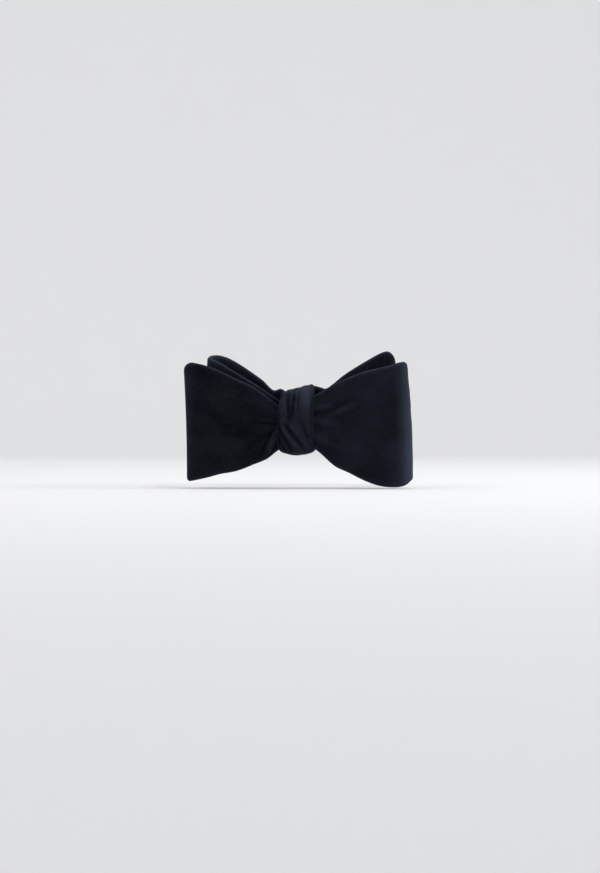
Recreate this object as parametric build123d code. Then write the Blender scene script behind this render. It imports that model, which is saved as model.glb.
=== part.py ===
from build123d import *
from math import asin, atan2, cos, degrees, pi, radians, sin
import os

# A tied velvet bow tie, upright as worn, in millimetres.
# The origin is the middle of the neck loop at half the band's height: +Z is up the neck,
# the bow faces -Y and +X is the right-hand side of someone looking at the bow.
# Angles round the neck loop are in degrees from the front (-Y), positive towards +X.

# Neck band
neck_size = 368.0
band_height = 20.0
lining = 0.6
interlining = 0.6
velvet = 1.0
neck_radius = neck_size / 2 / pi
interlining_radius = neck_radius + lining
velvet_radius = interlining_radius + interlining
band_radius = velvet_radius + velvet
fold_angle = 62.0
fold_gap = 1.2
right_band_end = 165.5
left_band_end = 96.0

# Knot
knot_width = 19.6
knot_height = 36.4
knot_depth = 22.6
knot_corner = 7.0
knot_edge = 2.6
knot_wrap_ply = 1.4
core_height = 24.0
core_depth = 14.0
core_corner = 3.5
knot_seat = 0.2
knot_back = neck_radius + knot_seat
bow_y = -(knot_back + knot_depth / 2)

# Wings: plies, and how far the two walls of a folded loop stand apart
# A wing's plan is drawn a little past both ends and taller than the bow, then trimmed to its outline
wing_ply = 2 * velvet + interlining
wing_clearance = 0.9
wing_root = knot_width / 2 + wing_clearance
wing_depth = 4.2
wing_overrun = 1.0
wing_plan_height = 4 * knot_height
throat_room = 0.4
throat_radius = wing_ply + throat_room
loop_nose_radius = 4.6

# Each wing seen from the front: reach from the middle, heights of the outer corners and of the
# throat beside the knot, the swell of the long edges, and the corner radii
front_left = dict(side=-1, reach=59.6, top=31.0, bottom=-32.4, throat_top=9.4, throat_bottom=-16.4,
                  swell_top=2.4, swell_bottom=2.0, lean=1.2, round_top=4.5, round_bottom=2.6)
front_right = dict(side=1, reach=61.0, top=31.2, bottom=-36.2, throat_top=13.4, throat_bottom=-16.2,
                   swell_top=2.8, swell_bottom=3.6, lean=0, round_top=3.0, round_bottom=7.0)
rear_left = dict(side=-1, reach=48.6, top=34.8, bottom=-27.6, throat_top=14.2, throat_bottom=-13.0,
                 swell_top=3.2, swell_bottom=1.6, lean=0, round_top=3.4, round_bottom=4.0)
rear_right = dict(side=1, reach=52.4, top=37.4, bottom=-27.6, throat_top=13.0, throat_bottom=-13.0,
                  swell_top=1.6, swell_bottom=1.6, lean=2.6, round_top=4.2, round_bottom=4.0)
flat_end_bow = 1.4
flat_end_flare = 1.2
loop_flare = 1.2

# Closure at the back of the neck
wire_radius = 0.75
wire_clearance = 0.05
strap_ply = 0.6
strap_height = 16.0
frame_half_height = 9.2
strap_seat = 0.1
strap_radius = velvet_radius
loop_gap = 2 * (wire_radius + wire_clearance)
loop_centre_radius = neck_radius + strap_seat + strap_ply + loop_gap / 2
tab_gap = interlining + velvet
eye_wire_radius = tab_gap / 2 - wire_clearance
closure_gap = 1.0
eye_length = 8.5
loop_leg_angle = 22.0
strap_end_angle = 152.0
return_play = 0.2
slide_angle = 128.0
slide_width = 11.0
slide_bar = 1.2
slide_rail = 1.6
slide_play = 0.2
slide_seat = 0.1
return_length = 30.0
hook_frame = 4.0
hook_reach = 9.5
hook_lift = 0.9
hook_throat = 1.25
hook_plate = 0.9
hook_width = 8.0
hook_tip = 3.0
hook_shoulder = 1.4
eye_seat = 0.3
tab_tail_angle = 154.0
label_start = 100.0
label_end = 117.0
label_height = 9.0
label_ply = 0.3
tack_height = 12.0
tack_width = 1.6
tack_ply = 0.25
tack_from_edge = 2.0
tack_from_label = 1.6


def on_loop(radius, angle):
    """A point of the neck loop."""
    return Vector(radius * sin(radians(angle)), -radius * cos(radians(angle)), 0)


def upright(face, height):
    """A plan face made a solid that is centred on the band's half height."""
    return extrude(face, height / 2, both=True)


def arc_face(inner, outer, start, end):
    """The plan of a ply between two radii of the neck loop."""
    low, high = sorted((start - 90, end - 90))
    inside = CenterArc((0, 0), inner, low, high - low)
    outside = CenterArc((0, 0), outer, low, high - low)
    return make_face([inside, outside, Line(inside @ 0, outside @ 0), Line(inside @ 1, outside @ 1)])


def arc_ply(inner, outer, start, end, height):
    """A strip of cloth bent round part of the neck loop."""
    return upright(arc_face(inner, outer, start, end), height)


def half_ring(centre, inner, outer, facing):
    """The plan of a half turn of cloth or metal; facing is the direction its back points, in degrees."""
    inside = CenterArc(centre, inner, facing - 90, 180)
    outside = CenterArc(centre, outer, facing - 90, 180)
    return make_face([inside, outside, Line(inside @ 0, outside @ 0), Line(inside @ 1, outside @ 1)])


def fold_over_bar(inner, gap, tail, nose, side):
    """The plan of a ribbon folded round a bar: a leg each side of the gap and a half turn between."""
    inner_leg = arc_face(inner, inner + strap_ply, side * tail, side * nose)
    outer_leg = arc_face(inner + strap_ply + gap, inner + 2 * strap_ply + gap, side * tail, side * nose)
    bar = on_loop(inner + strap_ply + gap / 2, side * nose)
    along = side * nose + (90 if side > 0 else -90) - 90
    return inner_leg + outer_leg + half_ring(bar, gap / 2, gap / 2 + strap_ply, along)


def rod(start, end, radius):
    """A round bar with rounded ends."""
    line = Line(start, end)
    body = sweep(Plane(origin=start, z_dir=line % 0) * Circle(radius), path=line)
    return body + Pos(start) * Sphere(radius) + Pos(end) * Sphere(radius)


def wire_frame(near, far, half_height, radius):
    """A rectangular ring of wire that stands on edge between two upright bars."""
    corners = [near + Vector(0, 0, half_height), far + Vector(0, 0, half_height),
               far - Vector(0, 0, half_height), near - Vector(0, 0, half_height)]
    ring = rod(corners[3], corners[0], radius)
    for start, end in zip(corners, corners[1:]):
        ring += rod(start, end, radius)
    return ring


def wing_outline(side, reach, top, bottom, throat_top, throat_bottom, swell_top, swell_bottom, lean,
                 round_top, round_bottom):
    """A wing seen from the front, made a block that is deeper than the bow."""
    throat_high = Vector(side * wing_root, throat_top)
    throat_low = Vector(side * wing_root, throat_bottom)
    high = Vector(side * (reach - max(lean, 0)), top)
    low = Vector(side * (reach + min(lean, 0)), bottom)
    middle_high = (throat_high + high) / 2 + Vector(0, swell_top)
    middle_low = (throat_low + low) / 2 - Vector(0, swell_bottom)
    edges = [ThreePointArc(throat_high, middle_high, high), Line(high, low),
             ThreePointArc(low, middle_low, throat_low), Line(throat_low, throat_high)]
    face = make_face(edges)
    face = fillet(face.vertices().sort_by_distance(high)[0:1], round_top)
    face = fillet(face.vertices().sort_by_distance(low)[0:1], round_bottom)
    return Pos(0, bow_y, 0) * (Plane.XZ * extrude(face, knot_depth, both=True))


def tapered_slot(root, root_radius, tip, tip_radius):
    """The plan of the space inside a loop that widens from the knot to its fold."""
    way = tip - root
    lean = degrees(asin((tip_radius - root_radius) / way.length))
    heading = degrees(atan2(way.Y, way.X))
    fold = CenterArc(tip, tip_radius, heading - 90 - lean, 180 + 2 * lean)
    throat = CenterArc(root, root_radius, heading + 90 + lean, 180 - 2 * lean)
    return make_face([fold, Line(fold @ 1, throat @ 0), throat, Line(throat @ 1, fold @ 0)])


def loop_plies(shape, layer):
    """The plies of a folded loop, outside first; layer is 1 behind the bow's middle, -1 before it."""
    outline = wing_outline(**dict(shape, reach=shape["reach"] + velvet))
    root = Vector(shape["side"] * (wing_root - wing_overrun), bow_y + layer * wing_depth)
    tip_x = shape["side"] * (shape["reach"] - loop_nose_radius)
    tip = Vector(tip_x, bow_y + layer * (wing_depth + loop_flare))
    plies = []
    for near, far in ((0, velvet), (velvet, velvet + interlining), (velvet + interlining, wing_ply)):
        outside = tapered_slot(root, throat_radius - near, tip, loop_nose_radius - near)
        inside = tapered_slot(root, throat_radius - far, tip, loop_nose_radius - far)
        plies.append(upright(outside - inside, wing_plan_height) & outline)
    return plies


def end_plies(shape, layer):
    """The plies of a flat end, front first: one shallow arc from the knot to the sewn edge."""
    outline = wing_outline(**shape)
    root = Vector(shape["side"] * (wing_root - wing_overrun), bow_y + layer * wing_depth)
    tip = Vector(shape["side"] * (shape["reach"] + wing_overrun), root.Y + layer * flat_end_flare)
    chord = tip - root
    radius = (chord.length / 2) ** 2 / 2 / flat_end_bow + flat_end_bow / 2
    across = Vector(-chord.Y, chord.X).normalized()
    if across.Y < 0:
        across = -across
    centre = (root + tip) / 2 + across * (radius - flat_end_bow)
    half_turn = degrees(asin(chord.length / 2 / radius))
    heading = degrees(atan2(-across.Y, -across.X))
    plies = []
    for near, far in ((0, velvet), (velvet, velvet + interlining), (velvet + interlining, wing_ply)):
        front = CenterArc(centre, radius + wing_ply / 2 - near, heading - half_turn, 2 * half_turn)
        back = CenterArc(centre, radius + wing_ply / 2 - far, heading - half_turn, 2 * half_turn)
        face = make_face([front, back, Line(front @ 0, back @ 0), Line(front @ 1, back @ 1)])
        plies.append(upright(face, wing_plan_height) & outline)
    return plies


def band_plies(start, end):
    """The lining, interlining and velvet of one stretch of the neck band."""
    radii = (neck_radius, interlining_radius, velvet_radius, band_radius)
    return [arc_ply(inner, outer, start, end, band_height) for inner, outer in zip(radii, radii[1:])]


nodes = {}

# The four wings
for name, shape, layer in (("front_left_end", front_left, -1), ("rear_right_end", rear_right, 1)):
    plies = end_plies(shape, layer)
    nodes.update(zip((name + "_front_velvet", name + "_interlining", name + "_back_velvet"), plies))
for name, shape, layer in (("front_right_loop", front_right, -1), ("rear_left_loop", rear_left, 1)):
    plies = loop_plies(shape, layer)
    nodes.update(zip((name + "_outer_velvet", name + "_interlining", name + "_inner_velvet"), plies))

# The knot: a crossing strip wrapped round the gathered middles of the front and rear pieces
section = Plane.YZ * RectangleRounded(knot_depth, knot_height, knot_corner)
wrap = Pos(0, bow_y, 0) * extrude(section, knot_width / 2, both=True)
wrap = fillet(wrap.faces().filter_by(Axis.X).edges(), knot_edge)
lining_section = Plane.YZ * RectangleRounded(core_depth + 2 * knot_wrap_ply, core_height + 2 * knot_wrap_ply,
                                             core_corner + knot_wrap_ply)
core_section = Plane.YZ * RectangleRounded(core_depth, core_height, core_corner)
wrap_inside = Pos(0, bow_y, 0) * extrude(lining_section, knot_width / 2, both=True)
core = Pos(0, bow_y, 0) * extrude(core_section, knot_width / 2, both=True)
front_half = Pos(0, bow_y - knot_depth / 2, 0) * Box(2 * knot_width, knot_depth, 2 * knot_height)
nodes["knot_wrap"] = wrap - wrap_inside
nodes["knot_wrap_interlining"] = wrap_inside - core
nodes["front_piece_gathers"] = core & front_half
nodes["rear_piece_gathers"] = core - front_half

# The neck band, folded at each side of the neck
knot_angle = degrees(asin(knot_width / 2 / neck_radius))
gap_angle = degrees(fold_gap / velvet_radius)
stretches = {
    "right_band_front": (knot_angle, fold_angle - gap_angle),
    "right_band_back": (fold_angle + gap_angle, right_band_end),
    "left_band_front": (-fold_angle + gap_angle, -knot_angle),
    "left_band_back": (-left_band_end, -fold_angle - gap_angle),
}
for name, (start, end) in stretches.items():
    plies = band_plies(start, end)
    nodes.update(zip((name + "_lining", name + "_interlining", name + "_velvet"), plies))

# The eye and the lining tab that is folded round its bar and stitched down on the velvet
eye_bar_angle = right_band_end + degrees((eye_wire_radius + eye_seat) / velvet_radius)
tab = fold_over_bar(neck_radius, tab_gap, tab_tail_angle, eye_bar_angle, 1)
nodes["right_band_back_lining"] = arc_ply(neck_radius, interlining_radius, fold_angle + gap_angle,
                                          tab_tail_angle, band_height)
nodes["eye_tab"] = upright(tab, strap_height)
eye_radius = neck_radius + strap_ply + tab_gap / 2
eye_tip_angle = eye_bar_angle + degrees(eye_length / eye_radius)
eye_bar = on_loop(eye_radius, eye_bar_angle)
eye_tip = on_loop(eye_radius, eye_tip_angle)
nodes["eye"] = wire_frame(eye_bar, eye_tip, frame_half_height, eye_wire_radius)

# The hook: a wire frame in the strap's loop and a plate turned back to catch the eye's bar
hook_length = hook_reach + hook_throat + hook_plate + closure_gap + eye_wire_radius
hook_bar_angle = 360 - eye_tip_angle - degrees(hook_length / loop_centre_radius)
hook_bar = on_loop(loop_centre_radius, -hook_bar_angle)
along = Vector(-cos(radians(hook_bar_angle)), sin(radians(hook_bar_angle)))
outward = Vector(-sin(radians(hook_bar_angle)), -cos(radians(hook_bar_angle)))
heading = degrees(atan2(along.Y, along.X))
bend = hook_bar + along * hook_reach + outward * hook_lift
outer_line = hook_lift + hook_throat
inner_line = hook_lift - hook_throat
turn = half_ring(bend, hook_throat, hook_throat + hook_plate, heading)
local = Pos(hook_bar) * Rot(0, 0, heading)
shank_start = hook_frame + hook_shoulder
shank = Polyline((shank_start, outer_line), (hook_reach, outer_line), (hook_reach, outer_line + hook_plate),
                 (shank_start, outer_line + hook_plate), (hook_frame - wire_radius, hook_plate / 2),
                 (hook_frame + wire_radius, -hook_plate / 2), close=True)
tip_middle = (hook_reach - hook_tip / 2, inner_line - hook_plate / 2)
plan = turn + local * make_face(shank) + local * Pos(*tip_middle) * Rectangle(hook_tip, hook_plate)
far_bar = hook_bar + along * hook_frame
nodes["hook"] = wire_frame(hook_bar, far_bar, frame_half_height, wire_radius) + upright(plan, hook_width)

# The adjusting strap: sewn to the left band, through the slide, round the hook's bar and back
loop_inner = neck_radius + strap_seat
loop_tail = hook_bar_angle - loop_leg_angle
loop_plan = fold_over_bar(loop_inner, loop_gap, loop_tail, hook_bar_angle, -1)
nodes["strap_to_slide"] = arc_ply(strap_radius, strap_radius + strap_ply, -strap_end_angle, -left_band_end,
                                  strap_height)
nodes["strap_loop"] = upright(loop_plan, strap_height)
return_radius = loop_inner + 2 * strap_ply + loop_gap + return_play
return_end = slide_angle + degrees(return_length / return_radius)
nodes["strap_return"] = arc_ply(return_radius, return_radius + strap_ply, -return_end, -slide_angle,
                                strap_height)

# The slide: two outer bars over the strap and a raised middle bar under it, joined by the rails
slide_half = degrees(slide_width / 2 / strap_radius)
bar_half = degrees(slide_bar / 2 / strap_radius)
slide_inside = neck_radius + slide_seat
slide_ply = strap_radius - slide_play - slide_inside
slide_outside = return_radius + strap_ply + slide_play
rail_z = strap_height / 2 + slide_play + slide_rail / 2
rail = arc_ply(slide_inside, slide_outside + slide_ply, -slide_angle - slide_half, -slide_angle + slide_half,
               slide_rail)
slide = Pos(0, 0, rail_z) * rail + Pos(0, 0, -rail_z) * rail
for centre, radius in ((slide_angle, slide_inside), (slide_angle - slide_half + bar_half, slide_outside),
                       (slide_angle + slide_half - bar_half, slide_outside)):
    slide += arc_ply(radius, radius + slide_ply, -centre - bar_half, -centre + bar_half, 2 * rail_z)
nodes["slide"] = slide

# Blank label and bar tacks
nodes["blank_label"] = arc_ply(band_radius, band_radius + label_ply, label_start, label_end, label_height)
tab_outside = neck_radius + 2 * strap_ply + tab_gap
tacks = []
for radius, angle in ((tab_outside, tab_tail_angle + tack_from_edge),
                      (tab_outside, right_band_end - tack_from_edge),
                      (band_radius, label_start - tack_from_label),
                      (band_radius, label_end + tack_from_label)):
    half = degrees(tack_width / 2 / radius)
    tacks.append(arc_ply(radius, radius + tack_ply, angle - half, angle + half, tack_height))
nodes["bar_tacks"] = Compound(children=tacks)

os.makedirs("parts", exist_ok=True)
for name, shape in nodes.items():
    export_step(shape, f"parts/{name}.step")
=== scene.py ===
import math

import bmesh
import bpy
import numpy as np
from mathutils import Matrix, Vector


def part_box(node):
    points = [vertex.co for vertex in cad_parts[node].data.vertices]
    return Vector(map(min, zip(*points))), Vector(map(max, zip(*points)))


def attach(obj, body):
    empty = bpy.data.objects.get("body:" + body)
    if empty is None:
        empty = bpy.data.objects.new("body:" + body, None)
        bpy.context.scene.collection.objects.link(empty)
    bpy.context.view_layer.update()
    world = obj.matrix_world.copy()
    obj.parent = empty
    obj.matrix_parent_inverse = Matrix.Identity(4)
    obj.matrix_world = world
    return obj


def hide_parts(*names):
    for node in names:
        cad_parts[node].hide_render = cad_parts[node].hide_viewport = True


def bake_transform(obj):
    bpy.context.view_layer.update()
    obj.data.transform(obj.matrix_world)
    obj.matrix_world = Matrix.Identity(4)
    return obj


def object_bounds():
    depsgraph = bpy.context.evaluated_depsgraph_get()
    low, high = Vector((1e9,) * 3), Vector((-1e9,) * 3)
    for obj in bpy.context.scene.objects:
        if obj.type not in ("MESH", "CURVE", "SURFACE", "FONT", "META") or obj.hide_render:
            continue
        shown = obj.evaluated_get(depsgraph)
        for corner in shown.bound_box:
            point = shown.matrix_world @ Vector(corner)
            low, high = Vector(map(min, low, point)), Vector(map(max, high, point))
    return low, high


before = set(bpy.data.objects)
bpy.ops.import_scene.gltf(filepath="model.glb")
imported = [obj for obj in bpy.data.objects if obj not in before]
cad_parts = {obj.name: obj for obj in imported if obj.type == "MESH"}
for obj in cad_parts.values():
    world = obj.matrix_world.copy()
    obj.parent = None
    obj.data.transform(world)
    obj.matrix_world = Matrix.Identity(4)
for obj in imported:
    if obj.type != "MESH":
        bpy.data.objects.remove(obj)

cad_box = [list(corner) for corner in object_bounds()]

# ---------------------------------------------------------------------------------------------
# The camera, the studio and its lights. The bow is seen square on from the front at the height
# of the knot, in a plain pale cove: a round floor that curves up all round, so no edge shows.
# Large soft lights stand above, to the right and behind, as for a picture of dark velvet.
MM = 0.001
knot_low, knot_high = (np.array(corner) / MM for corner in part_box("knot_wrap"))
bow_y = (knot_low[1] + knot_high[1]) / 2

view_width = 318.0
view_right_of_middle, view_above_middle = 1.6, -8.7
camera_distance = 1400.0
camera = bpy.data.cameras.new("camera")
camera.sensor_fit = "HORIZONTAL"
camera.sensor_width = 36
camera.lens = camera.sensor_width * camera_distance / view_width
camera.clip_end = 50
camera_stand = bpy.data.objects.new("camera", camera)
camera_stand.location = Vector((view_right_of_middle, knot_low[1] - camera_distance, view_above_middle)) * MM
camera_stand.rotation_euler = (math.radians(90), 0, 0)
bpy.context.collection.objects.link(camera_stand)
bpy.context.scene.camera = camera_stand


def linear(hex_colour):
    """An sRGB hex colour as the linear colour that the shader takes."""
    parts = [int(hex_colour[i:i + 2], 16) / 255 for i in (1, 3, 5)]
    return [p / 12.92 if p <= 0.04045 else ((p + 0.055) / 1.055) ** 2.4 for p in parts] + [1.0]


def add(tree, kind, inputs=None, **settings):
    """Adds one shader node with its settings; an input gets a value, or a link from a socket."""
    made = tree.nodes.new(kind)
    for name, value in settings.items():
        setattr(made, name, value)
    for name, value in (inputs or {}).items():
        if isinstance(value, bpy.types.NodeSocket):
            tree.links.new(value, made.inputs[name])
        else:
            made.inputs[name].default_value = value
    return made


def new_material(name):
    """An empty material and its node tree."""
    material = bpy.data.materials.new(name)
    material.use_nodes = True
    material.node_tree.nodes.clear()
    return material, material.node_tree


# Matt studio paper: a faint tooth in the surface and no gloss.
paper, tree = new_material("matt_studio_paper")
place = add(tree, "ShaderNodeTexCoord").outputs["Object"]
tooth = add(tree, "ShaderNodeTexNoise", {"Vector": place, "Scale": 900.0})
bump = add(tree, "ShaderNodeBump", {"Height": tooth.outputs["Fac"], "Strength": 0.05, "Distance": 0.0002})
surface = add(tree, "ShaderNodeBsdfPrincipled", {
    "Base Color": linear("#e4e4e4"), "Roughness": 0.9, "Normal": bump.outputs["Normal"],
    "Specular IOR Level": 0.1})
add(tree, "ShaderNodeOutputMaterial", {"Surface": surface.outputs["BSDF"]})

cove_floor = 2.3
cove_curve = 1.3
cove_height = 3.2
cove_sides, cove_steps = 96, 24
pile_below_box = 0.0015
floor_z = cad_box[0][2] - pile_below_box
profile = [(0.0, floor_z), (cove_floor, floor_z)]
for step in range(1, cove_steps + 1):
    turn = math.radians(90 * step / cove_steps)
    profile.append((cove_floor + cove_curve * math.sin(turn), floor_z + cove_curve * (1 - math.cos(turn))))
profile.append((cove_floor + cove_curve, floor_z + cove_height))
corners = []
for radius, z in profile:
    for step in range(cove_sides):
        turn = 2 * math.pi * step / cove_sides
        corners.append((radius * math.cos(turn), radius * math.sin(turn), z))
sheets = []
for i in range(len(profile) - 1):
    for j in range(cove_sides):
        after = (j + 1) % cove_sides
        sheets.append((i * cove_sides + j, i * cove_sides + after,
                       (i + 1) * cove_sides + after, (i + 1) * cove_sides + j))
mesh = bpy.data.meshes.new("studio_cove")
mesh.from_pydata(corners, [], sheets)
mesh.validate()
mesh.shade_smooth()
mesh.materials.append(paper)
cove = bpy.data.objects.new("studio_cove", mesh)
bpy.context.collection.objects.link(cove)


def soft_light(name, place, target, size, watts):
    """A large square soft box that faces a point."""
    lamp = bpy.data.lights.new(name, "AREA")
    lamp.shape = "RECTANGLE"
    lamp.size, lamp.size_y = size
    lamp.energy = watts
    box = bpy.data.objects.new(name, lamp)
    box.location = place
    box.rotation_euler = (Vector(target) - Vector(place)).to_track_quat("-Z", "Y").to_euler()
    bpy.context.collection.objects.link(box)


bow_centre = (0, bow_y * MM, 0)
soft_light("overhead_box", (0.35, -0.25, 1.5), bow_centre, (1.2, 1.0), 9)
soft_light("right_box", (1.5, -0.25, 0.35), bow_centre, (0.7, 1.1), 13)
soft_light("left_box", (-1.6, -0.9, 0.4), bow_centre, (0.9, 1.3), 2.5)
soft_light("backdrop_box", (0, 1.0, 2.4), (0, 3.2, 0.6), (3.0, 1.0), 19)

world = bpy.data.worlds.new("pale_room")
world.use_nodes = True
world.node_tree.nodes["Background"].inputs["Color"].default_value = linear("#eeeff2")
world.node_tree.nodes["Background"].inputs["Strength"].default_value = 0.97
bpy.context.scene.world = world
bpy.context.scene.view_settings.view_transform = "Standard"

# ---------------------------------------------------------------------------------------------
# The four wings. Each is a strip of velvet, felt interlining and velvet, sewn at the edges and
# turned right side out, so its rim is round with a fine groove where the two plies meet.
# A flat end stops in a sewn edge; a loop turns back on itself and returns to the knot.
velvet_depth = 1.0
# Half of the felt's own thickness: it reaches this far to each side of the middle surface.
felt_depth = 0.3
rim_round = 1.5
seam_groove = 0.12
pucker_pitch, pucker_height, pucker_reach = 4.6, 0.10, 2.5
coarse_lumps, fine_lumps = (0.14, 17), (0.07, 7)
knot_edge = 9
# How late an end's edge starts to lean, how near the knot its crown is, and where a loop turns back.
lean_bend = 2.2
crown_bias = 0.8
nose_start, nose_share = 0.46, 0.08
# How pale the painted highlight along the rim is, how much the random patches vary, and how pale the painted
# sheen at the far edge is, and over what distance.
rim_painted_highlight, rim_reach = 0.5, 0.9
patch_tone, patch_size = 0.04, 24
far_edge_reach = 5.0
# How strongly a wing's folds get a painted highlight on their ridges and painted shade in their creases.
crease_painted_light_scale = 0.15

# Cut-pile velvet: cotton pile on a woven ground, one cloth for the wings, the knot and the band. Its
# short upright pile is a dead black that turns pale where it is seen edge on. A per-point attribute mixes in
# a paler colour: random patches, a painted highlight on fold ridges, rims and far edges, painted shade in
# hollows.
pile_pitch = 0.35
tuft_pitch = 1.6
pressed_patch = 19.0


def velvet(name, ground, paleness_and_painted_light, sheen):
    """Cut-pile velvet; the pile is drawn a little coarser than the real 0.2 mm so that it shows."""
    material, tree = new_material(name)
    place = add(tree, "ShaderNodeTexCoord").outputs["Object"]
    patches = add(tree, "ShaderNodeTexNoise", {
        "Vector": place, "Scale": 1000 / pressed_patch, "Detail": 3.0, "Roughness": 0.55, "Distortion": 0.6})
    patch = add(tree, "ShaderNodeMapRange", {
        "Value": patches.outputs["Fac"], "From Min": 0.32, "From Max": 0.72, "To Max": 0.14})
    pile = add(tree, "ShaderNodeTexNoise", {"Vector": place, "Scale": 1000 / pile_pitch, "Detail": 2.0})
    clumps = add(tree, "ShaderNodeTexNoise", {
        "Vector": place, "Scale": 1000 / tuft_pitch, "Detail": 4.0, "Roughness": 0.65})
    speck = add(tree, "ShaderNodeMapRange", {
        "Value": clumps.outputs["Fac"], "From Min": 0.3, "From Max": 0.75, "To Max": 0.12})
    # The mesh attribute read here is paleness: random patches, painted highlight on ridges and rims, painted
    # shade in hollows.
    pile_tone_and_painted_light = add(tree, "ShaderNodeAttribute", attribute_name="pale_pile_and_painted_light")
    shade = add(tree, "ShaderNodeMath", {0: patch.outputs["Result"], 1: speck.outputs["Result"]},
                operation="ADD")
    shade = add(tree, "ShaderNodeMath", {0: shade.outputs["Value"], 1: pile_tone_and_painted_light.outputs["Fac"]},
                operation="ADD", use_clamp=True)
    colour = add(tree, "ShaderNodeMix", {
        "Factor": shade.outputs["Value"], "A": linear(ground), "B": linear(paleness_and_painted_light)}, data_type="RGBA")
    tufts = add(tree, "ShaderNodeMath", {0: pile.outputs["Fac"], 1: clumps.outputs["Fac"]}, operation="ADD")
    bump = add(tree, "ShaderNodeBump", {
        "Height": tufts.outputs["Value"], "Strength": 0.6, "Distance": 0.0002})
    rough = add(tree, "ShaderNodeMapRange", {
        "Value": patches.outputs["Fac"], "To Min": 0.78, "To Max": 0.95})
    surface = add(tree, "ShaderNodeBsdfPrincipled", {
        "Base Color": colour.outputs["Result"], "Roughness": rough.outputs["Result"],
        "Specular IOR Level": 0.06, "Sheen Weight": sheen, "Sheen Roughness": 0.34,
        "Sheen Tint": linear("#8d9aba"), "Normal": bump.outputs["Normal"]})
    add(tree, "ShaderNodeOutputMaterial", {"Surface": surface.outputs["BSDF"]})
    return material


face_velvet = velvet("cut_pile_velvet", "#05070b", "#343a48", 0.17)

# Felted wool interlining: pale, matt and fibrous, and hidden between the plies of velvet.
felt, tree = new_material("felted_wool_interlining")
place = add(tree, "ShaderNodeTexCoord").outputs["Object"]
fibres = add(tree, "ShaderNodeTexNoise", {"Vector": place, "Scale": 1400.0, "Detail": 5.0, "Distortion": 1.2})
colour = add(tree, "ShaderNodeMix", {
    "Factor": fibres.outputs["Fac"], "A": linear("#8d8a84"), "B": linear("#b5b1aa")}, data_type="RGBA")
bump = add(tree, "ShaderNodeBump", {"Height": fibres.outputs["Fac"], "Strength": 0.5, "Distance": 0.0002})
surface = add(tree, "ShaderNodeBsdfPrincipled", {
    "Base Color": colour.outputs["Result"], "Roughness": 0.95, "Normal": bump.outputs["Normal"],
    "Specular IOR Level": 0.1})
add(tree, "ShaderNodeOutputMaterial", {"Surface": surface.outputs["BSDF"]})


def smooth(points, at):
    """A smooth curve through a few (place, value) points, read at the given places."""
    places, values = np.array(points, float).T
    slopes = np.gradient(values, places)
    k = np.clip(np.searchsorted(places, at, side="right") - 1, 0, len(places) - 2)
    span = places[k + 1] - places[k]
    t = np.clip((at - places[k]) / span, 0, 1)
    return ((2 * t ** 3 - 3 * t ** 2 + 1) * values[k] + (t ** 3 - 2 * t ** 2 + t) * span * slopes[k]
            + (3 * t ** 2 - 2 * t ** 3) * values[k + 1] + (t ** 3 - t ** 2) * span * slopes[k + 1])


def normals_of(grid):
    """The unit normals of a grid of points (rows along the strip, columns across it)."""
    along = np.gradient(grid, axis=0)
    across = np.gradient(grid, axis=1)
    normal = np.cross(along, across)
    return normal / np.maximum(np.linalg.norm(normal, axis=2, keepdims=True), 1e-9)


def shell(name, front, back, material, ring=False, paleness_and_painted_light=None):
    """A closed ply between two grids of points in mm; ring joins its last row to its first."""
    rows, columns = front.shape[:2]
    points = np.concatenate((front.reshape(-1, 3), back.reshape(-1, 3))) * MM
    offset = rows * columns
    spans = [(i, (i + 1) % rows) for i in range(rows if ring else rows - 1)]
    faces = []
    for i, after in spans:
        for j in range(columns - 1):
            quad = (i * columns + j, after * columns + j, after * columns + j + 1, i * columns + j + 1)
            faces.append(quad)
            faces.append(tuple(offset + k for k in reversed(quad)))
        for j in (0, columns - 1):
            near, far = i * columns + j, after * columns + j
            rim = (near, near + offset, far + offset, far)
            faces.append(rim if j == 0 else rim[::-1])
    if not ring:
        for i in (0, rows - 1):
            for j in range(columns - 1):
                near, far = i * columns + j, i * columns + j + 1
                rim = (near, far, far + offset, near + offset)
                faces.append(rim if i == 0 else rim[::-1])
    mesh = bpy.data.meshes.new(name)
    mesh.from_pydata(points.tolist(), [], faces)
    tidy = bmesh.new()
    tidy.from_mesh(mesh)
    bmesh.ops.recalc_face_normals(tidy, faces=tidy.faces)
    tidy.to_mesh(mesh)
    tidy.free()
    mesh.shade_smooth()
    mesh.materials.append(material)
    # The per-point paleness, with its painted highlight and painted shade, is stored on the outer grid only.
    if paleness_and_painted_light is not None:
        both = np.concatenate((paleness_and_painted_light.ravel(), np.zeros(offset)))
        mesh.attributes.new("pale_pile_and_painted_light", "FLOAT", "POINT").data.foreach_set("value", both)
    piece = bpy.data.objects.new(name, mesh)
    bpy.context.collection.objects.link(piece)
    return piece


def lumps(points, size, seed):
    """A soft unevenness between about -1 and 1, the sum of a few slow waves set by a seed."""
    chance = np.random.default_rng(seed)
    total = np.zeros(points.shape[:-1])
    for _ in range(9):
        direction = chance.normal(size=3)
        direction *= 2 * math.pi / size / np.linalg.norm(direction) * chance.uniform(0.6, 1.5)
        total += np.sin(points @ direction + chance.uniform(0, 2 * math.pi))
    return total / 4


def crease(x, z, start, end, width):
    """How strongly a crease from start to end marks each point seen from the front, from 0 to 1."""
    start, end = np.array(start, float), np.array(end, float)
    way = end - start
    t = ((x - start[0]) * way[0] + (z - start[1]) * way[1]) / (way @ way)
    near = np.clip(t, 0, 1)
    apart = np.hypot(x - start[0] - near * way[0], z - start[1] - near * way[1])
    fade = np.clip(1.15 - np.abs(near - 0.4) * 1.4, 0, 1)
    return np.exp(-(apart / width) ** 2) * fade


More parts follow.
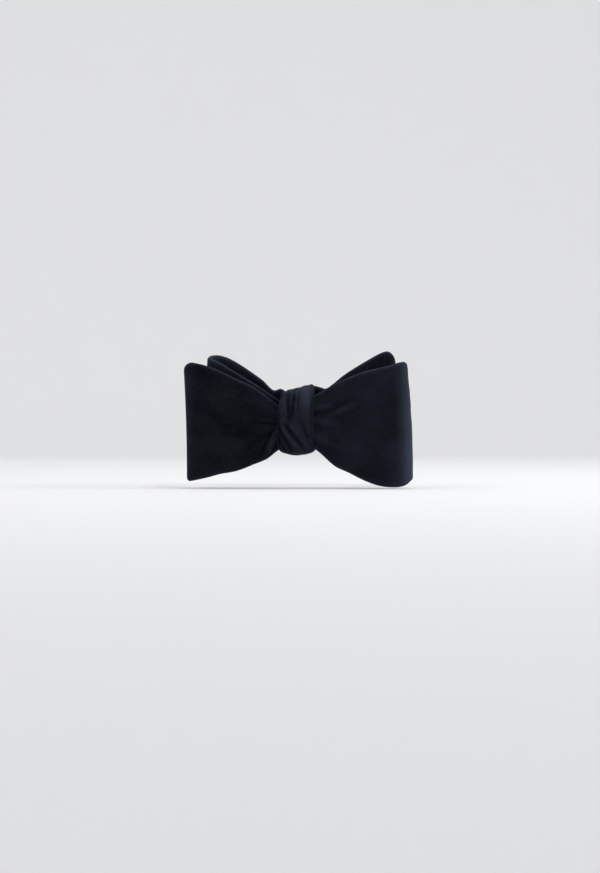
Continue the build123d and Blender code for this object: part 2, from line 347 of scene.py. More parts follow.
def wing_grid(side, stations, round_top, round_bottom, lean, crown, pleats, marks, rows, columns, **_):
    """The middle surface of a wing. Stations are (distance out, depth, low edge, high edge) along it.
    A mark is (start, end, width, height): a crease or ridge between two points seen from the front."""
    stations = np.array(stations, float)
    run = np.concatenate(([0], np.cumsum(np.hypot(*np.diff(stations[:, :2], axis=0).T))))
    u, v = np.meshgrid(np.linspace(0, 1, rows), np.linspace(-1, 1, columns), indexing="ij")
    square_u, square_v = u, v
    if round_top:
        half = (stations[-1, 3] - stations[-1, 2]) / 2
        ahead, beside = (1 - u) * run[-1], (1 - np.abs(v)) * half
        radius = np.where(v > 0, round_top, round_bottom)
        p, q = np.clip(radius - ahead, 0, None), np.clip(radius - beside, 0, None)
        shrink = np.maximum(p, q) / np.maximum(np.hypot(p, q), 1e-9)
        inside = (p > 0) & (q > 0)
        u = np.where(inside, 1 - (radius - p * shrink) / run[-1], u)
        v = np.where(inside, np.sign(v) * (1 - (radius - q * shrink) / half), v)
    out, depth, low, high = (smooth(np.column_stack((run, stations[:, k])), u * run[-1]) for k in range(4))
    z = (low + high) / 2 + (high - low) / 2 * v
    reach = stations[:, 0].max()
    slant = np.clip((1 + v) / 2, 0, 1) ** lean_bend
    slope = -lean * slant if lean > 0 else lean * (1 - slant)
    out = out + slope * (out / reach) ** 4
    swell = np.sin(math.pi * np.clip(out / reach, 0, 1) ** crown_bias) * (1 - v ** 2)
    towards = math.copysign(1, stations[0, 1])
    returning = 1 - 2 * np.clip((u - nose_start) / nose_share, 0, 1) if not round_top else 1
    depth = depth + towards * crown * swell * returning
    gather = np.exp(-np.clip(out - knot_edge, 0, None) / pleats["length"])
    folds = pleats["depth"] * gather * np.cos(math.pi * pleats["count"] * v + pleats["phase"])
    x = side * out
    for start, end, width, height in marks:
        folds = folds + height * crease(x, z, start, end, width) * (1 if round_top else (u < 0.5))
    grid = np.stack((x, bow_y + depth + towards * folds, z), axis=2)
    return grid, square_u, square_v, run[-1], folds


def sewn_plies(names, grid, outside, edge, rim, cloth, unevenness, pucker, paleness_and_painted_light, crease_painted_light, back_rows=None):
    """Two plies sewn round the rim with felt between: face, felt and back; back_rows shortens the back."""
    normal = normals_of(grid)
    middle_row, middle_column = normal.shape[0] // 5, normal.shape[1] // 2
    if normal[middle_row, middle_column] @ outside(grid[middle_row, middle_column]) < 0:
        normal = -normal
    near = np.clip(edge / rim, 0, 1)
    roll = np.sqrt(1 - (1 - near) ** 2)
    waves = (unevenness + pucker) * roll
    made = []
    for sign, depth, material, name in ((1, cloth["face_depth"], cloth["face"], names[0]),
                                        (-1, cloth["back_depth"], cloth["back"], names[2])):
        outer = ((felt_depth + depth) * roll + seam_groove * (1 - roll) + waves)[..., None]
        inner = (felt_depth * roll + 0.03)[..., None]
        rows = slice(None) if sign > 0 else slice(back_rows)
        # The face gets a painted highlight on fold ridges and painted shade in creases; the back ply takes
        # the same marks with the sign turned.
        made.append(shell(name, (grid + sign * normal * outer)[rows], (grid + sign * normal * inner)[rows],
                          material, paleness_and_painted_light=(paleness_and_painted_light + sign * crease_painted_light)[rows]))
    keep = (slice(2, -3), slice(3, -3))
    lift = normal[keep] * felt_depth * 0.5
    made.insert(1, shell(names[1], grid[keep] + lift, grid[keep] - lift, felt))
    return made


def wing_plies(name, nodes, facing, shape):
    """The three plies of a wing, each standing for its CAD node; facing is the way the first ply looks."""
    grid, u, v, length, folds = wing_grid(**shape)
    half = np.clip((grid[:, -1, 2] - grid[:, 0, 2])[:, None] / 2, 4, None)
    edge = (1 - np.abs(v)) * half
    if shape["round_top"]:
        edge = np.minimum(edge, (1 - u) * length)
    pucker = pucker_height * np.exp(-edge / pucker_reach) * np.sin(2 * math.pi * u * length / pucker_pitch)
    soft = (coarse_lumps[0] * lumps(grid, coarse_lumps[1], shape["seed"])
            + fine_lumps[0] * lumps(grid, fine_lumps[1], shape["seed"] + 1))
    # The wing's paleness: an overall painted light level, a painted highlight along the rim, random patches
    # and a painted sheen towards the far edge.
    pile_tone_and_painted_light = shape["painted_light_level"] + rim_painted_highlight * np.exp(-edge / rim_reach)
    pile_tone_and_painted_light = pile_tone_and_painted_light + patch_tone * lumps(grid, patch_size, shape["seed"] + 2)
    pile_tone_and_painted_light = pile_tone_and_painted_light + shape["far_edge_painted_sheen"] * np.exp(-((shape["reach"] - np.abs(grid[..., 0])) / far_edge_reach) ** 2)
    names = [name + "_" + node for node in nodes]
    cloth = dict(face=face_velvet, back=face_velvet, face_depth=velvet_depth, back_depth=velvet_depth)
    made = sewn_plies([node + "_ply" for node in names], grid, lambda point: np.array((0, facing, 0)), edge,
                      rim_round, cloth, soft, pucker, pile_tone_and_painted_light, crease_painted_light_scale * folds)
    for piece, node, slot in zip(made, names, ("black_velvet", "interlining", "black_velvet")):
        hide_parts(node)
    return made


# Each wing's overall paleness is painted light: darker on the front left wing, paler on the right and rear
# ones, which sit in shade. The far-edge value is a painted sheen, strongest on the front right loop's turn.
front_left_end = dict(
    side=-1, rows=130, columns=90, round_top=5.6, round_bottom=2.4, lean=-2.0, crown=1.6, seed=11,
    reach=60.6, far_edge_painted_sheen=0.16, painted_light_level=-0.05,
    stations=[(5, -4.4, -12.6, 5.4), (10.4, -4.7, -16.2, 8.3), (14.8, -5.0, -19.8, 11.6),
              (23.6, -5.4, -23.8, 17.8), (32.4, -5.8, -27.1, 21.9), (41.2, -6.0, -28.7, 26.3),
              (49.1, -6.0, -30.7, 29.2), (55.7, -5.9, -32.0, 30.7), (60.6, -5.8, -32.8, 31.4)],
    pleats=dict(depth=0.4, length=6.0, count=3.0, phase=0.6),
    marks=[((-10, -2.2), (-22, -1.4), 0.9, -1.3), ((-10, -0.9), (-20, -0.1), 0.9, 0.5),
           ((-10.4, -6.2), (-17.0, -19.5), 0.8, 2.0), ((-9.8, -8.2), (-14.4, -18.8), 0.9, -2.3),
           ((-11.8, -5.6), (-18.6, -17), 0.9, -0.8),
           ((-11, -4.6), (-26, -13), 1.6, -0.6), ((-19, -11), (-52, -16), 4.0, 0.6),
           ((-14, 5), (-28, 11), 2.0, 0.4)])
front_right_loop = dict(
    side=1, rows=200, columns=90, round_top=0, round_bottom=0, lean=3.2, crown=1.3, seed=23,
    reach=60.5, far_edge_painted_sheen=0.78, painted_light_level=0.04,
    stations=[(5, -5.6, -12.4, 11.0), (11.6, -6.1, -17.0, 14.4), (20.3, -6.8, -24.6, 19.4),
              (27.3, -7.3, -27.9, 22.5), (36.1, -7.9, -32.3, 25.8), (43.2, -8.3, -34.8, 27.4),
              (50.6, -8.7, -35.7, 29.0), (55.2, -8.8, -35.4, 30.3), (58.2, -8.2, -34.3, 30.9),
              (60.0, -6.8, -32.6, 31.0), (60.5, -5.2, -31.6, 30.3), (59.8, -3.7, -32.0, 29.4),
              (56.0, -2.4, -33.2, 27.9), (45, -2.0, -32.4, 24.8),
              (25, -2.3, -24.6, 17.5), (5, -2.7, -11, 9)],
    pleats=dict(depth=0.3, length=6.0, count=3.5, phase=-0.5),
    marks=[((9, 6.2), (19, 7.6), 0.9, 0.9), ((9, 4.2), (22, 5.6), 0.9, -0.7),
           ((18, 2.8), (31, 8.2), 1.3, 0.9), ((20, 5.6), (28, 9.8), 1.0, -0.5),
           ((9, -3.0), (21, -5.6), 1.1, -0.45), ((9, -0.4), (22, -1.4), 1.3, 0.35),
           ((9.5, -8.5), (24, -16), 1.5, 0.5)])
rear_left_loop = dict(
    side=-1, rows=150, columns=64, round_top=0, round_bottom=0, lean=0.8, crown=0.9, seed=37,
    reach=47.6, far_edge_painted_sheen=0.15, painted_light_level=0.08,
    stations=[(5, 6.0, -9, 14.6), (8.5, 6.2, -11, 16.9), (12.2, 6.5, -13, 16.1), (18.3, 7.1, -16.5, 21.4),
              (25.4, 7.6, -19.5, 26.5),
              (32.4, 8.0, -22.5, 31.0), (38.6, 8.3, -24.8, 34.0), (44.4, 7.8, -26.4, 35.0),
              (47.6, 5.6, -27.0, 34.2), (46.9, 3.2, -26.8, 33.2), (42.5, 2.3, -25.6, 31.2),
              (34, 2.3, -23.0, 26.3), (24, 2.5, -19, 20.4), (12, 2.8, -13, 12.4), (5, 3.0, -9, 8)],
    pleats=dict(depth=0.6, length=7.0, count=3.0, phase=0.2), marks=[])
rear_right_end = dict(
    side=1, rows=110, columns=64, round_top=7.0, round_bottom=4.0, lean=4.6, crown=0.8, seed=41,
    reach=56.4, far_edge_painted_sheen=0.22, painted_light_level=0.06,
    stations=[(5, 3.7, -9, 16.0), (9.3, 3.9, -11, 18.4), (12.4, 4.0, -13, 17.7), (15.5, 4.2, -15.5, 17.0),
              (19.2, 4.4, -17.5, 19.4), (23.9, 4.6, -19.5, 23.2),
              (33.5, 4.9, -23.0, 29.3), (39.6, 5.0, -24.8, 32.6), (46.5, 5.0, -26.6, 35.8),
              (56.4, 4.9, -27.8, 38.4)],
    pleats=dict(depth=0.6, length=7.0, count=3.0, phase=0.9), marks=[])

end_nodes = ("front_velvet", "interlining", "back_velvet")
loop_nodes = ("outer_velvet", "interlining", "inner_velvet")
for name, shape, nodes, facing in (("front_left_end", front_left_end, end_nodes, -1),
                                   ("front_right_loop", front_right_loop, loop_nodes, -1),
                                   ("rear_left_loop", rear_left_loop, loop_nodes, 1),
                                   ("rear_right_end", rear_right_end, end_nodes, -1)):
    for piece in wing_plies(name, nodes, facing, shape):
        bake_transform(piece)

# ---------------------------------------------------------------------------------------------
# The knot: one strip of the same velvet drawn tight round the gathered middles of the front and
# rear pieces. It is wound over its own felt and pulled up on the slant, so it is creased upright
# above, and from the left edge down to the foot below. Its long edges are turned under.
knot_rows, knot_columns = 220, 72
knot_front = 11.6
knot_back = knot_high[1] - bow_y
knot_left_edge = [(-20, -8.6), (-17.0, -9.8), (-7, -10.4), (2, -10.2), (9.9, -9.3), (15.2, -7.6), (20, -6.8)]
knot_right_edge = [(-20, 8.8), (-16.3, 10.2), (-11, 9.0), (0, 8.7), (10, 8.8), (16, 9.4), (20, 9.8)]
knot_top_edge = [(-1, 14.8), (-0.4, 15.6), (0.2, 15.9), (0.7, 16.0), (1, 15.6)]
knot_top_rise = [(-1, 0.9), (-0.4, 1.4), (0.4, 3.0), (1, 4.0)]
knot_foot_edge = [(-1, -16.9), (-0.5, -18.3), (0, -18.8), (0.5, -18.2), (1, -16.8)]
knot_turned = 0.72
knot_edge_roll = 2.6
knot_squareness = (0.62, 0.78)
wound_height, wound_ridges, wound_slant = 0.2, 4.2, 1.4
knot_lumps, knot_lump_size = 0.14, 6
knot_marks = [((-4.5, 16), (-4.6, -1.0), 0.85, -1.7), ((-1.2, 17), (-3.1, -0.5), 0.8, -1.6),
              ((-2.8, 16.5), (-3.8, 2), 0.7, 0.5), ((-7.2, 15), (-8.8, 2), 1.4, 0.8),
              ((1.4, 17), (0.2, 5), 0.8, -0.9), ((4.9, 17), (4.4, 2), 2.2, 0.9),
              ((7.6, 15), (6.6, -4), 0.8, -0.6), ((-10.2, -3.5), (-2.2, -17.4), 0.85, -1.8),
              ((-8.6, -4.6), (2.4, -17), 0.9, 0.9), ((-6.4, -2.4), (4.0, -16.0), 0.8, -1.3),
              ((-10.0, -9.5), (-5.4, -17.6), 0.75, -1.1), ((-3.6, -3.0), (5.6, -14), 1.1, 0.5),
              ((2.6, -2), (7.4, -14.5), 0.9, -0.6)]


def knot_surface(inset):
    """The surface of the wound strip, set in from the cloth's face by a distance, and its dents."""
    turn, across = np.meshgrid(np.linspace(0, 2 * math.pi, knot_rows, endpoint=False),
                               np.linspace(-1, 1, knot_columns), indexing="ij")
    top, foot = smooth(knot_top_edge, across), smooth(knot_foot_edge, across)
    turned = np.clip((np.abs(across) - knot_turned) / (1 - knot_turned), 0, 1)
    tuck = knot_edge_roll * (1 - np.sqrt(1 - turned ** 2)) + inset
    tall = (top - foot) / 2 - tuck
    back = -np.sign(np.cos(turn)) * np.abs(np.cos(turn)) ** knot_squareness[0]
    deep = np.where(back < 0, knot_front, knot_back) - tuck
    slope = np.clip((back + 0.75) / 1.2, 0, 1)
    rise = smooth(knot_top_rise, across) * slope ** 2 * (3 - 2 * slope)
    z = (top + foot) / 2 + tall * np.sign(np.sin(turn)) * np.abs(np.sin(turn)) ** knot_squareness[1]
    z = z + rise * np.clip(z / 12, 0, 1)
    left, right = smooth(knot_left_edge, z), smooth(knot_right_edge, z)
    grid = np.stack((left + (right - left) * (across + 1) / 2, bow_y + deep * back, z), axis=2)
    overlap = 2
    normal = normals_of(np.concatenate((grid[-overlap:], grid, grid[:overlap])))[overlap:-overlap]
    if normal[0, knot_columns // 2, 1] > 0:
        normal = -normal
    wound = np.cos(math.pi * wound_ridges * across + wound_slant * np.sin(turn) + 0.8)
    wound = wound_height * wound * (1 - turned)
    dents = wound * np.clip(back + 0.4, 0.1, 1) + knot_lumps * lumps(grid, knot_lump_size, 5)
    for start, end, width, height in knot_marks:
        mark = crease(grid[..., 0], z, start, end, width)
        dents = dents + height * mark * np.clip(-0.15 - back * 1.8, 0, 1) * (1 - turned)
    return grid, normal, dents


grid, normal, dents = knot_surface(0)
# Painted light on the knot: a painted highlight on its ridges and on a crest near the top of its front, and
# painted shade in its hollows and on its turned edges.
knot_tone, ridge_painted_light, crest_painted_highlight, turned_edge_painted_shade = 0.13, 0.2, 0.27, -0.3
crest_place, crest_size = (3.0, 14), (5.5, 6.0)
painted_shade_share = 0.2
turned_edge_shade_mask = np.clip((np.abs(np.linspace(-1, 1, knot_columns)) - (1 - painted_shade_share)) / painted_shade_share, 0, 1)
crest_highlight_mask = np.exp(-((grid[..., 0] - crest_place[0]) / crest_size[0]) ** 2
               - ((grid[..., 2] - crest_place[1]) / crest_size[1]) ** 2)
pile_tone_and_painted_light = ridge_painted_light * dents + knot_tone + crest_painted_highlight * crest_highlight_mask + turned_edge_painted_shade * turned_edge_shade_mask
knot = shell("knot_wrap_velvet", grid + normal * dents[..., None], grid - normal * velvet_depth,
             face_velvet, ring=True, paleness_and_painted_light=pile_tone_and_painted_light)
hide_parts("knot_wrap")
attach(knot, "bow")

knot_felt_inset = 3.2
grid, normal, dents = knot_surface(knot_felt_inset)
knot_middle = slice(19, -19)
knot_felt = shell("knot_wrap_interlining_felt", grid[:, knot_middle],
                  (grid - normal * felt_depth * 2)[:, knot_middle], felt, ring=True)
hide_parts("knot_wrap_interlining")
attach(knot_felt, "bow")

# The gathers: the bunched middles of the two pieces, which fill the knot and flare at its mouths.
gather_length = 19.2
gather_depth, gather_height, gather_middle, gather_offset = 4.7, 13.2, -0.6, 3.7
gather_squareness = 0.7
waist, flare_from, flare_over, flare_by = 0.88, 0.6, 0.22, 0.24
end_from, end_over, end_closing = 0.86, 0.14, 0.5
fold_count, fold_height, fold_twist = 11, 0.07, 0.7
core_inset, core_depth, core_height = 0.6, 0.02, 0.4
for name, middle in (("front_piece_gathers", -gather_offset), ("rear_piece_gathers", gather_offset)):
    turn, across = np.meshgrid(np.linspace(0, 2 * math.pi, 144, endpoint=False), np.linspace(-1, 1, 40),
                               indexing="ij")
    flare = waist + flare_by * np.clip((np.abs(across) - flare_from) / flare_over, 0, 1)
    plump = flare * (1 - end_closing * np.clip((np.abs(across) - end_from) / end_over, 0, 1) ** 2)
    fold = 1 + fold_height * np.cos(fold_count * turn + fold_twist * np.sin(3 * across))
    deep = gather_depth * np.sign(np.cos(turn)) * np.abs(np.cos(turn)) ** gather_squareness
    tall = gather_height * np.sign(np.sin(turn)) * np.abs(np.sin(turn)) ** gather_squareness
    grid = np.stack((across * gather_length / 2, bow_y + middle - deep * plump * fold,
                     gather_middle + tall * plump * fold), axis=2)
    core = np.stack((across * (gather_length / 2 - core_inset), bow_y + middle - core_depth * deep,
                     gather_middle + core_height * tall), axis=2)
    gathers = shell(name + "_velvet", grid, core, face_velvet, ring=True)
    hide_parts(name)
    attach(gathers, "bow")

# ---------------------------------------------------------------------------------------------
# The neck band: two halves, each a long narrow tube of velvet outside and satin inside over felt,
# sewn at both edges and turned. It comes out of the back of the knot and lies round the collar.
neck_high = np.array(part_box("right_band_back_velvet")[1]) / MM
band_outside = neck_high[0]
satin_depth = 0.5
band_middle = band_outside - velvet_depth - felt_depth
band_half_height = neck_high[2]
band_start, band_fold, fold_spread = 7.0, 62.0, 36.0
right_band_end, left_band_end = 165.0, 96.0
right_lining_end = 153.6
band_waver, waver_fade = 0.25, 12
band_pucker, band_pucker_reach = 0.06, 2
band_lumps, band_lump_size = 0.05, 9
band_rim_painted_highlight = 0.4
band_rim = 1.2
end_round = 1.8


def around(radius, angle, height=0.0):
    """A point of the neck loop in millimetres; the angle is from the front, positive to the right."""
    return np.stack(np.broadcast_arrays(radius * np.sin(np.radians(angle)),
                                        -radius * np.cos(np.radians(angle)), height), axis=-1)


# Satin ribbon and lining: warp-faced, smooth and slightly glossy along its threads.
satin, tree = new_material("black_satin_lining")
place = add(tree, "ShaderNodeTexCoord").outputs["Object"]
stretched = add(tree, "ShaderNodeMapping", {"Vector": place, "Scale": (1.0, 1.0, 9.0)})
threads = add(tree, "ShaderNodeTexNoise", {
    "Vector": stretched.outputs["Vector"], "Scale": 420.0, "Detail": 3.0})
colour = add(tree, "ShaderNodeMix", {
    "Factor": threads.outputs["Fac"], "A": linear("#0c0d11"), "B": linear("#191b21")}, data_type="RGBA")
rough = add(tree, "ShaderNodeMapRange", {"Value": threads.outputs["Fac"], "To Min": 0.3, "To Max": 0.5})
bump = add(tree, "ShaderNodeBump", {"Height": threads.outputs["Fac"], "Strength": 0.4, "Distance": 0.00012})
surface = add(tree, "ShaderNodeBsdfPrincipled", {
    "Base Color": colour.outputs["Result"], "Roughness": rough.outputs["Result"],
    "Specular IOR Level": 0.35, "Anisotropic": 0.5, "Normal": bump.outputs["Normal"]})
add(tree, "ShaderNodeOutputMaterial", {"Surface": surface.outputs["BSDF"]})

for side_name, side, end, lining_end in (("right", 1, right_band_end, right_lining_end),
                                         ("left", -1, left_band_end, left_band_end)):
    body = side_name + "_band"
    stretch, breadth = np.linspace(band_start, end, int(end * 1.6)), np.linspace(-1, 1, 26)
    angle, v = np.meshgrid(stretch, breadth, indexing="ij")
    waver = band_waver * lumps(around(band_middle, angle, 9 * v), 26, 3)
    near_end = np.clip(1 - np.radians(end - angle) * band_middle / end_round, 0, 1)
    grid = around(band_middle + waver * np.clip((end - angle) / waver_fade, 0, 1), side * angle,
                  v * (band_half_height - 0.2 - end_round * (1 - np.sqrt(1 - near_end ** 2))))
    edge = np.minimum((1 - np.abs(v)) * band_half_height, np.radians(end - angle) * band_middle)
    pucker = np.sin(np.radians(angle) * band_middle * 2 * math.pi / pucker_pitch)
    pucker = band_pucker * np.exp(-edge / band_pucker_reach) * pucker
    soft = band_lumps * lumps(grid, band_lump_size, 8)
    cloth = dict(face=face_velvet, back=satin, face_depth=velvet_depth, back_depth=satin_depth)
    # The band's rims get a painted highlight along their round edges.
    made = sewn_plies([body + "_velvet_ply", body + "_interlining_ply", body + "_lining_ply"], grid,
                      lambda point: point * (1, 1, 0), edge, band_rim, cloth, soft, pucker,
                      band_rim_painted_highlight * np.exp(-edge / rim_reach), 0,
                      back_rows=int((angle[:, 0] <= lining_end).sum()))
    fold = [tuple(around(band_middle, side * (band_fold + turn)) * MM)
            for turn in (-fold_spread, fold_spread)]
    for piece, layer, slot in zip(made, ("velvet", "interlining", "lining"),
                                  ("black_velvet", "interlining", "black_satin")):
        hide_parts(f"{body}_front_{layer}", f"{body}_back_{layer}")
        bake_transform(piece)

# ---------------------------------------------------------------------------------------------
# The adjusting strap: a narrow grosgrain ribbon sewn into the left band's end. It runs through the
# slide, round the hook's bar and back to the slide, and a satin tab folded the same way round the
# eye's bar is stitched over the right band's end.
strap_half_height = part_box("strap_loop")[1][2] / MM
strap_ply = 0.6
rib_spacing = 0.9
ribbon_columns = 17

# Grosgrain: silk ribbon with a thick weft, so ribs run across it; drawn at 0.9 mm so that they show.
grosgrain, tree = new_material("black_grosgrain_ribbon")
place = add(tree, "ShaderNodeUVMap").outputs["UV"]
weft = add(tree, "ShaderNodeTexWave", {
    "Vector": place, "Scale": 2 * math.pi * 1000 / (20 * rib_spacing), "Distortion": 0.3,
    "Detail": 2.0}, bands_direction="X")
threads = add(tree, "ShaderNodeTexNoise", {
    "Vector": add(tree, "ShaderNodeTexCoord").outputs["Object"], "Scale": 1500.0, "Detail": 3.0})
colour = add(tree, "ShaderNodeMix", {
    "Factor": weft.outputs["Fac"], "A": linear("#07080b"), "B": linear("#1a1c22")}, data_type="RGBA")
height = add(tree, "ShaderNodeMath", {0: weft.outputs["Fac"], 1: threads.outputs["Fac"]}, operation="ADD")
bump = add(tree, "ShaderNodeBump", {"Height": height.outputs["Value"], "Strength": 0.6, "Distance": 0.00015})
surface = add(tree, "ShaderNodeBsdfPrincipled", {
    "Base Color": colour.outputs["Result"], "Roughness": 0.55, "Specular IOR Level": 0.4,
    "Normal": bump.outputs["Normal"]})
add(tree, "ShaderNodeOutputMaterial", {"Surface": surface.outputs["BSDF"]})


def ribbon(name, middle, half_height, ply, material):
    """A ribbon on edge that follows a plan line of points in millimetres, with soft selvedges."""
    middle = np.array(middle, float)
    way = np.gradient(middle, axis=0)
    way /= np.linalg.norm(way, axis=1, keepdims=True)
    out = np.stack((way[:, 1], -way[:, 0], 0 * way[:, 0]), axis=1)[:, None, :]
    v = np.linspace(-1, 1, ribbon_columns)
    plan = np.broadcast_to(middle[:, None, :], (len(middle), ribbon_columns, 2))
    upright = np.broadcast_to((v * half_height)[None, :, None], (len(middle), ribbon_columns, 1))
    grid = np.concatenate((plan, upright), axis=2)
    thick = (ply / 2 * (1 - 0.55 * np.clip((np.abs(v) - 0.86) / 0.14, 0, 1) ** 2))[None, :, None]
    piece = shell(name, grid + out * thick, grid - out * thick, material)
    run = np.concatenate(([0], np.cumsum(np.linalg.norm(np.diff(middle, axis=0), axis=1)))) * MM
    layer = piece.data.uv_layers.new(name="along_ribbon")
    spot = np.empty(len(piece.data.loops), int)
    piece.data.loops.foreach_get("vertex_index", spot)
    row, column = np.divmod(spot % (len(middle) * ribbon_columns), ribbon_columns)
    layer.data.foreach_set("uv", np.stack((run[row], v[column] * half_height * MM), axis=1).ravel())
    return piece, float(run[-1])


def plan_arc(radius, start, end, pieces):
    """Plan points round part of the neck loop."""
    return around(radius, np.linspace(start, end, pieces))[:, :2]


def folded_round(bar_radius, half_gap, bar_angle, tail_angle, side):
    """The plan line of a ribbon folded round an upright bar: a leg, a half turn and a leg."""
    inner = plan_arc(bar_radius - half_gap, side * tail_angle, side * bar_angle, 40)
    outer = plan_arc(bar_radius + half_gap, side * bar_angle, side * tail_angle, 40)
    bar = around(bar_radius, side * bar_angle)[:2]
    first = inner[-1] - bar
    turned = []
    for step in np.linspace(0, math.pi, 14)[1:-1]:
        swing = -side * step
        turned.append(bar + (first[0] * math.cos(swing) - first[1] * math.sin(swing),
                             first[0] * math.sin(swing) + first[1] * math.cos(swing)))
    return np.concatenate((inner[:-1], [inner[-1]], turned, [outer[0]], outer[1:]))


def stand_for(piece, node, body):
    """A piece that takes the place of a CAD node and the body that it moves with."""
    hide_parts(node)
    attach(piece, body)


# Places round the neck loop, in degrees from the front: the left half's are on the negative side.
strap_middle = band_outside - velvet_depth + strap_ply / 2
strap_under_band, strap_end = 1.0, 152
to_slide, length = ribbon("strap_to_slide_ribbon",
                          plan_arc(strap_middle, -left_band_end + strap_under_band, -strap_end, 90),
                          strap_half_height, strap_ply, grosgrain)
stand_for(to_slide, "strap_to_slide", "left_band")

loop_radius = 60.07
loop_half_gap = 1.1
hook_bar_angle, loop_tail_angle = 172.59, 142.0
loop, length = ribbon("strap_loop_ribbon",
                      folded_round(loop_radius, loop_half_gap, hook_bar_angle, loop_tail_angle, -1),
                      strap_half_height, strap_ply, grosgrain)
stand_for(loop, "strap_loop", "strap_loop")

return_middle = 61.97
slide_angle, return_end = 128, 156
returned, length = ribbon("strap_return_ribbon", plan_arc(return_middle, -slide_angle, -return_end, 60),
                          strap_half_height, strap_ply, grosgrain)
stand_for(returned, "strap_return", "slide")

tab_middle, tab_half_gap = 59.97, 1.1
eye_bar_angle, tab_tail_angle = 166.5, 154.0
tab, length = ribbon("eye_tab_satin",
                     folded_round(tab_middle, tab_half_gap, eye_bar_angle, tab_tail_angle, 1),
                     strap_half_height, strap_ply, satin)
stand_for(tab, "eye_tab", "right_band")

# ---------------------------------------------------------------------------------------------
# The slide, the hook and the eye: brass wire and strip, bent up, brazed and nickel plated. The eye
# hangs in the right band's tab, and the hook hangs in the strap's loop and catches the eye's bar.
plating_ripple = 2.5
polish_grain = 0.12

# Nickel plate: a warm grey mirror, softened by barrel polishing, so it shows fine random scuffs.
nickel, tree = new_material("barrel_polished_nickel_plate")
place = add(tree, "ShaderNodeTexCoord").outputs["Object"]
scuffs = add(tree, "ShaderNodeTexNoise", {"Vector": place, "Scale": 1000 / polish_grain, "Detail": 4.0})
ripple = add(tree, "ShaderNodeTexNoise", {"Vector": place, "Scale": 1000 / plating_ripple, "Detail": 2.0})
colour = add(tree, "ShaderNodeMix", {
    "Factor": ripple.outputs["Fac"], "A": linear("#b3aea4"), "B": linear("#d0ccc3")}, data_type="RGBA")
rough = add(tree, "ShaderNodeMapRange", {"Value": scuffs.outputs["Fac"], "To Min": 0.16, "To Max": 0.36})
height = add(tree, "ShaderNodeMath", {0: ripple.outputs["Fac"], 1: scuffs.outputs["Fac"]}, operation="ADD")
bump = add(tree, "ShaderNodeBump", {"Height": height.outputs["Value"], "Strength": 0.12, "Distance": 0.00005})
surface = add(tree, "ShaderNodeBsdfPrincipled", {
    "Base Color": colour.outputs["Result"], "Metallic": 1.0, "Roughness": rough.outputs["Result"],
    "Normal": bump.outputs["Normal"]})
add(tree, "ShaderNodeOutputMaterial", {"Surface": surface.outputs["BSDF"]})

for name in ("slide", "hook", "eye"):
    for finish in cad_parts[name].material_slots:
        finish.material = nickel

# ---------------------------------------------------------------------------------------------
# The blank label and the bar tacks: a folded damask label on the right band with nothing woven in
# it, held at each end by a bar tack of dense zigzag thread. Two more tacks hold the eye's tab down.
thread_pitch = 0.42

# Damask label: fine satin-faced polyester, pewter grey, with the weave running along it.
damask, tree = new_material("woven_damask_label")
place = add(tree, "ShaderNodeTexCoord").outputs["Object"]
weave = add(tree, "ShaderNodeTexWave", {
    "Vector": place, "Scale": 2 * math.pi * 1000 / (20 * thread_pitch), "Distortion": 0.4, "Detail": 2.0},
    bands_direction="Z")
colour = add(tree, "ShaderNodeMix", {
    "Factor": weave.outputs["Fac"], "A": linear("#5d5b57"), "B": linear("#7b7973")}, data_type="RGBA")
bump = add(tree, "ShaderNodeBump", {"Height": weave.outputs["Fac"], "Strength": 0.35, "Distance": 0.0001})
surface = add(tree, "ShaderNodeBsdfPrincipled", {
    "Base Color": colour.outputs["Result"], "Roughness": 0.55, "Specular IOR Level": 0.35,
    "Normal": bump.outputs["Normal"]})
add(tree, "ShaderNodeOutputMaterial", {"Surface": surface.outputs["BSDF"]})

# Sewing thread: twisted spun polyester, black, a little glossier than the pile round it.
thread, tree = new_material("spun_polyester_thread")
place = add(tree, "ShaderNodeTexCoord").outputs["Object"]
twist = add(tree, "ShaderNodeTexNoise", {"Vector": place, "Scale": 2600.0, "Detail": 3.0})
colour = add(tree, "ShaderNodeMix", {
    "Factor": twist.outputs["Fac"], "A": linear("#0b0c10"), "B": linear("#2a2c33")}, data_type="RGBA")
bump = add(tree, "ShaderNodeBump", {"Height": twist.outputs["Fac"], "Strength": 0.5, "Distance": 0.0001})
surface = add(tree, "ShaderNodeBsdfPrincipled", {
    "Base Color": colour.outputs["Result"], "Roughness": 0.5, "Specular IOR Level": 0.4,
    "Normal": bump.outputs["Normal"]})
add(tree, "ShaderNodeOutputMaterial", {"Surface": surface.outputs["BSDF"]})

label_start, label_end, label_half, label_ply = 100.0, 117.0, 4.5, 0.3
label_pinch, pinch_reach, label_waver = 0.6, 0.5, 0.05
angle, v = np.meshgrid(np.linspace(label_start, label_end, 60), np.linspace(-1, 1, 25), indexing="ij")
near_end = np.minimum(angle - label_start, label_end - angle)
lift = label_ply * (1 - label_pinch * np.exp(-near_end / pinch_reach))
lift = lift + label_waver * np.sin(angle * 1.7) * (1 - v ** 2)
height = v * label_half * (1 + 0.012 * np.sin(angle * 2.3))
label = shell("blank_label_damask", around(band_outside + 0.1 + lift, angle, height),
              around(band_outside + 0.05, angle, height), damask)
stand_for(label, "blank_label", "right_band")

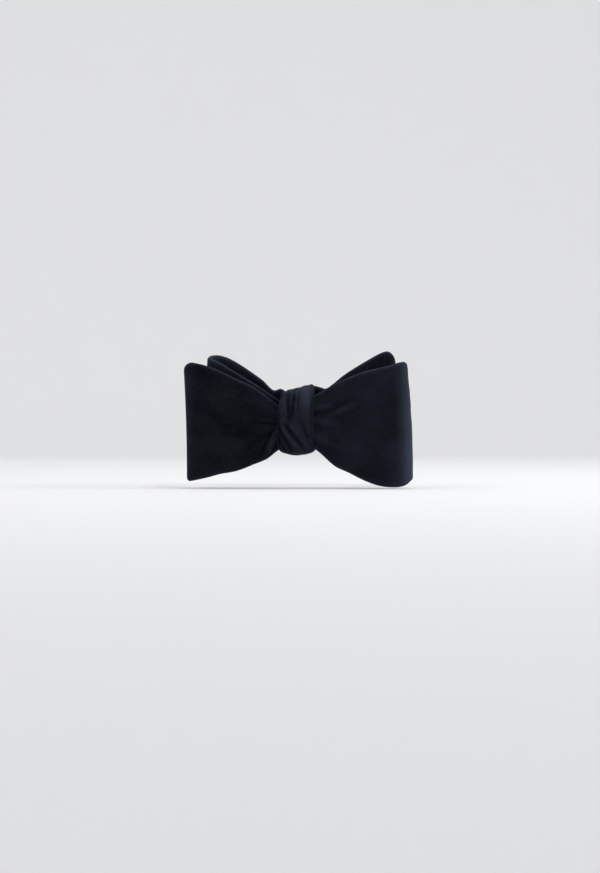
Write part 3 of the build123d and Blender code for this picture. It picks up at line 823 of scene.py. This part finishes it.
tack_half_height, tack_half_width, tack_ridge = 6.0, 0.8, 0.16
tab_outside = tab_middle + tab_half_gap + strap_ply / 2
tack_places = ((tab_outside, 156.0), (tab_outside, 163.5), (band_outside, 98.4), (band_outside, 118.6))
for number, (radius, middle) in enumerate(tack_places, 1):
    across, up = np.meshgrid(np.linspace(-1, 1, 15), np.linspace(-1, 1, 330), indexing="ij")
    lay = up * tack_half_height + 0.12 * across
    ridge = tack_ridge * np.abs(np.sin(math.pi * lay / thread_pitch)) + 0.12
    ridge = ridge * np.sqrt(np.clip(1.04 - across ** 6, 0.04, 1))
    angle = middle + np.degrees(across * tack_half_width / radius) * (1 + 0.05 * np.sin(lay * 5.1))
    tack = shell(f"bar_tack_{number}", around(radius + ridge, angle, lay), around(radius - 0.05, angle, lay),
                 thread)
    stand_for(tack, "bar_tacks", "right_band")


def stitch_row(name, spots, body, length=1.7, radius=0.17):
    """A row of lockstitches: short plump lengths of thread laid end to end between punched holes."""
    rows, columns = 9, 8
    points, faces = [], []
    for spot, way, outward in spots:
        side_way = np.cross(outward, way)
        base = len(points)
        for i in range(rows):
            t = i / (rows - 1) * 2 - 1
            girth = radius * math.sqrt(max(1 - t ** 4, 0.02))
            sink = 0.25 * radius - 0.9 * radius * t ** 4
            for j in range(columns):
                turn = 2 * math.pi * j / columns
                points.append((spot + way * t * length / 2 + outward * (sink + girth * math.sin(turn))
                               + side_way * girth * math.cos(turn)) * MM)
        for i in range(rows - 1):
            for j in range(columns):
                after = (j + 1) % columns
                faces.append((base + i * columns + j, base + i * columns + after,
                              base + (i + 1) * columns + after, base + (i + 1) * columns + j))
        faces.append(tuple(base + j for j in reversed(range(columns))))
        faces.append(tuple(base + (rows - 1) * columns + j for j in range(columns)))
    mesh = bpy.data.meshes.new(name)
    mesh.from_pydata([tuple(point) for point in points], [], faces)
    mesh.shade_smooth()
    mesh.materials.append(thread)
    row = bpy.data.objects.new(name, mesh)
    bpy.context.collection.objects.link(row)
    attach(row, body)


def upright_spots(radius, angle, half, pitch):
    """Where the stitches of an upright row lie: their middles, their way and the way out."""
    count = int(2 * half / pitch)
    out = around(1.0, angle)
    return [(around(radius, angle, (k + 0.5) * pitch - half), np.array((0, 0, 1.0)), out)
            for k in range(count)]


def level_spots(radius, start, end, height, pitch):
    """The same for a level row that runs round the neck loop at one height."""
    count = int(abs(math.radians(end - start)) * radius / pitch)
    spots = []
    for k in range(count):
        angle = start + (k + 0.5) * (end - start) / count
        spots.append((around(radius, angle, height), around(1.0, angle + 90), around(1.0, angle)))
    return spots


stitch_pitch = 2.1
strap_face = strap_middle + strap_ply / 2
box_start, box_end, box_half = -97.4, -103.0, 6.6
stitch_row("strap_box_stitching", upright_spots(strap_face, box_start, box_half, stitch_pitch)
           + upright_spots(strap_face, box_end, box_half, stitch_pitch)
           + level_spots(strap_face, box_start, box_end, box_half, stitch_pitch)
           + level_spots(strap_face, box_start, box_end, -box_half, stitch_pitch), "left_band")
loop_face = loop_radius + loop_half_gap + strap_ply / 2
loop_stitch_start, loop_stitch_end = -152.0, -168.5
stitch_row("strap_loop_stitching", upright_spots(loop_face, loop_stitch_start, box_half, stitch_pitch)
           + upright_spots(loop_face, loop_stitch_end, box_half, stitch_pitch), "strap_loop")
